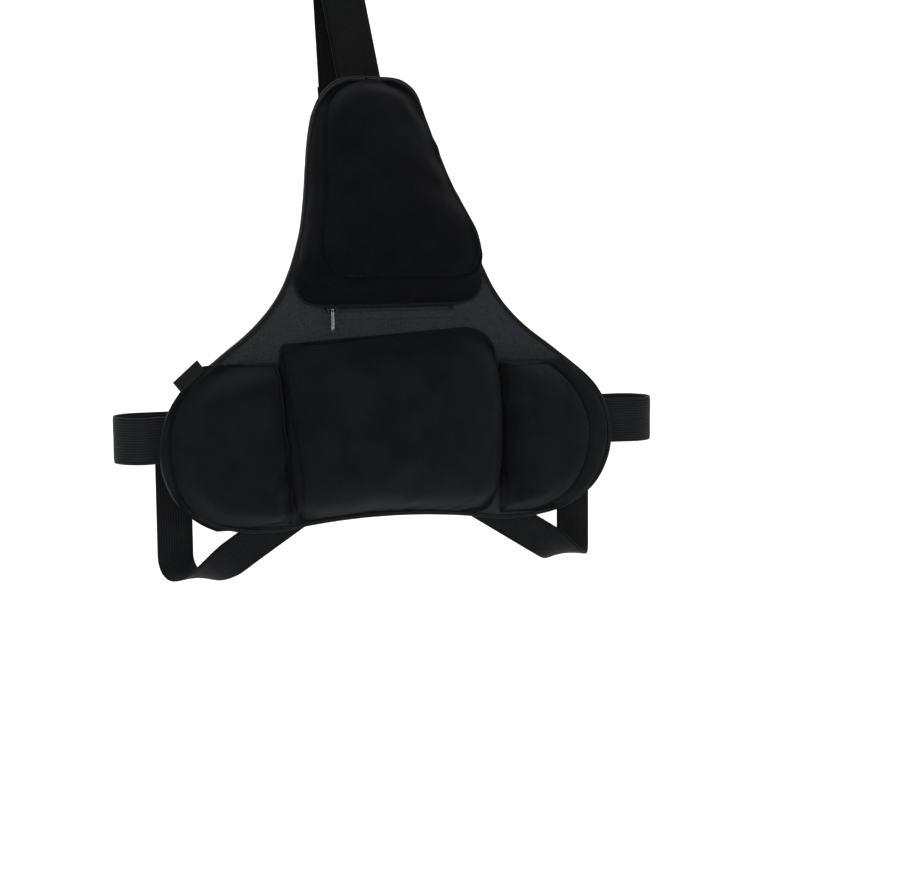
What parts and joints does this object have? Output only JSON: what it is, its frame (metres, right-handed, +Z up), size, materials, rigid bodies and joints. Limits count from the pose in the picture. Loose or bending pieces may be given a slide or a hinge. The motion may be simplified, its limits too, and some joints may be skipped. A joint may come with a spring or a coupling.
{
  "type": "lumbar support cushion",
  "caption": "Strap-on lumbar support: a bottle-shaped fabric back panel with an upper back pad, a lumbar roll, wing pads, a zip and webbing straps round a chair back.",
  "frame": {"origin": "on the rear face of the back panel, on its centre line, level with the side straps", "axes": "+Z up along the back panel's flat lower part, -Y out of the pads towards the sitter, +X to the right as seen from the front"},
  "size_m": [0.4714, 0.1545, 0.5011],
  "materials": {
    "pad_fabric": "matt knitted polyester",
    "mesh_fabric": "heathered spacer mesh",
    "foam": "open-cell memory foam",
    "webbing": "ribbed woven webbing",
    "binding": "woven tape",
    "plastic": "fine moulded texture",
    "board": "smooth sheet",
    "nickel": "bright nickel",
    "label": "satin woven tab"
  },
  "bodies": {
    "cushion": {"backing_rear_panel": "mesh_fabric", "backing_stiffener": "board", "backing_front_panel": "mesh_fabric", "edge_binding": "binding", "upper_pad_cover": "pad_fabric", "upper_pad_foam": "foam", "upper_pad_piping": "binding", "lumbar_pad_cover": "pad_fabric", "lumbar_pad_foam": "foam", "left_wing_cover": "pad_fabric", "left_wing_foam": "foam", "right_wing_cover": "pad_fabric", "right_wing_foam": "foam", "zip_tape_upper": "binding", "zip_tape_lower": "binding", "zip_teeth": "plastic", "zip_stop_left": "nickel", "zip_stop_right": "nickel", "side_label": "label", "left_strap_front": "webbing", "left_strap_fold": "webbing", "left_strap_rear": "webbing", "right_strap_front": "webbing", "right_strap_fold": "webbing", "right_strap_rear": "webbing", "right_strap_tail": "webbing", "lower_left_strap_front": "webbing", "lower_left_strap_fold": "webbing", "lower_left_strap_rear": "webbing", "lower_right_strap_front": "webbing", "lower_right_strap_fold": "webbing", "lower_right_strap_rear": "webbing", "top_strap_front": "webbing", "top_strap_fold": "webbing", "top_strap_rear": "webbing", "top_strap_tail": "webbing", "top_strap_loop": "webbing", "buckle_socket": "plastic"},
    "zip_slider": {"zip_slider": "nickel"},
    "zip_pull": {"zip_pull": "nickel"},
    "buckle_plug": {"buckle_plug": "plastic", "left_strap_tail": "webbing"},
    "left_adjuster": {"left_adjuster": "plastic"},
    "right_adjuster": {"right_adjuster": "plastic"},
    "top_adjuster": {"top_adjuster": "plastic"}
  },
  "joints": [
    {"name": "zip_slide", "type": "slide", "parent": "cushion", "child": "zip_slider", "axis": [1, 0, 0], "range_m": [0, 0.098]},
    {"name": "zip_pull_swing", "type": "hinge", "parent": "zip_slider", "child": "zip_pull", "pos_m": [-0.05, -0.0116, 0.101], "axis": [-1, 0, 0], "range_deg": [-8, 115]},
    {"name": "buckle_release", "type": "slide", "parent": "cushion", "child": "buckle_plug", "axis": [-1, 0, 0], "range_m": [0, 0.03], "deforming": ["left_strap_rear"]},
    {"name": "left_adjuster_slide", "type": "slide", "parent": "cushion", "child": "left_adjuster", "axis": [-1, 0, 0], "range_m": [-0.034, 0.034]},
    {"name": "right_adjuster_slide", "type": "slide", "parent": "cushion", "child": "right_adjuster", "axis": [1, 0, 0], "range_m": [-0.02, 0.035]},
    {"name": "top_adjuster_slide", "type": "slide", "parent": "cushion", "child": "top_adjuster", "axis": [0, -0.186, -0.9825], "range_m": [-0.06, 0.04]}
  ]
}
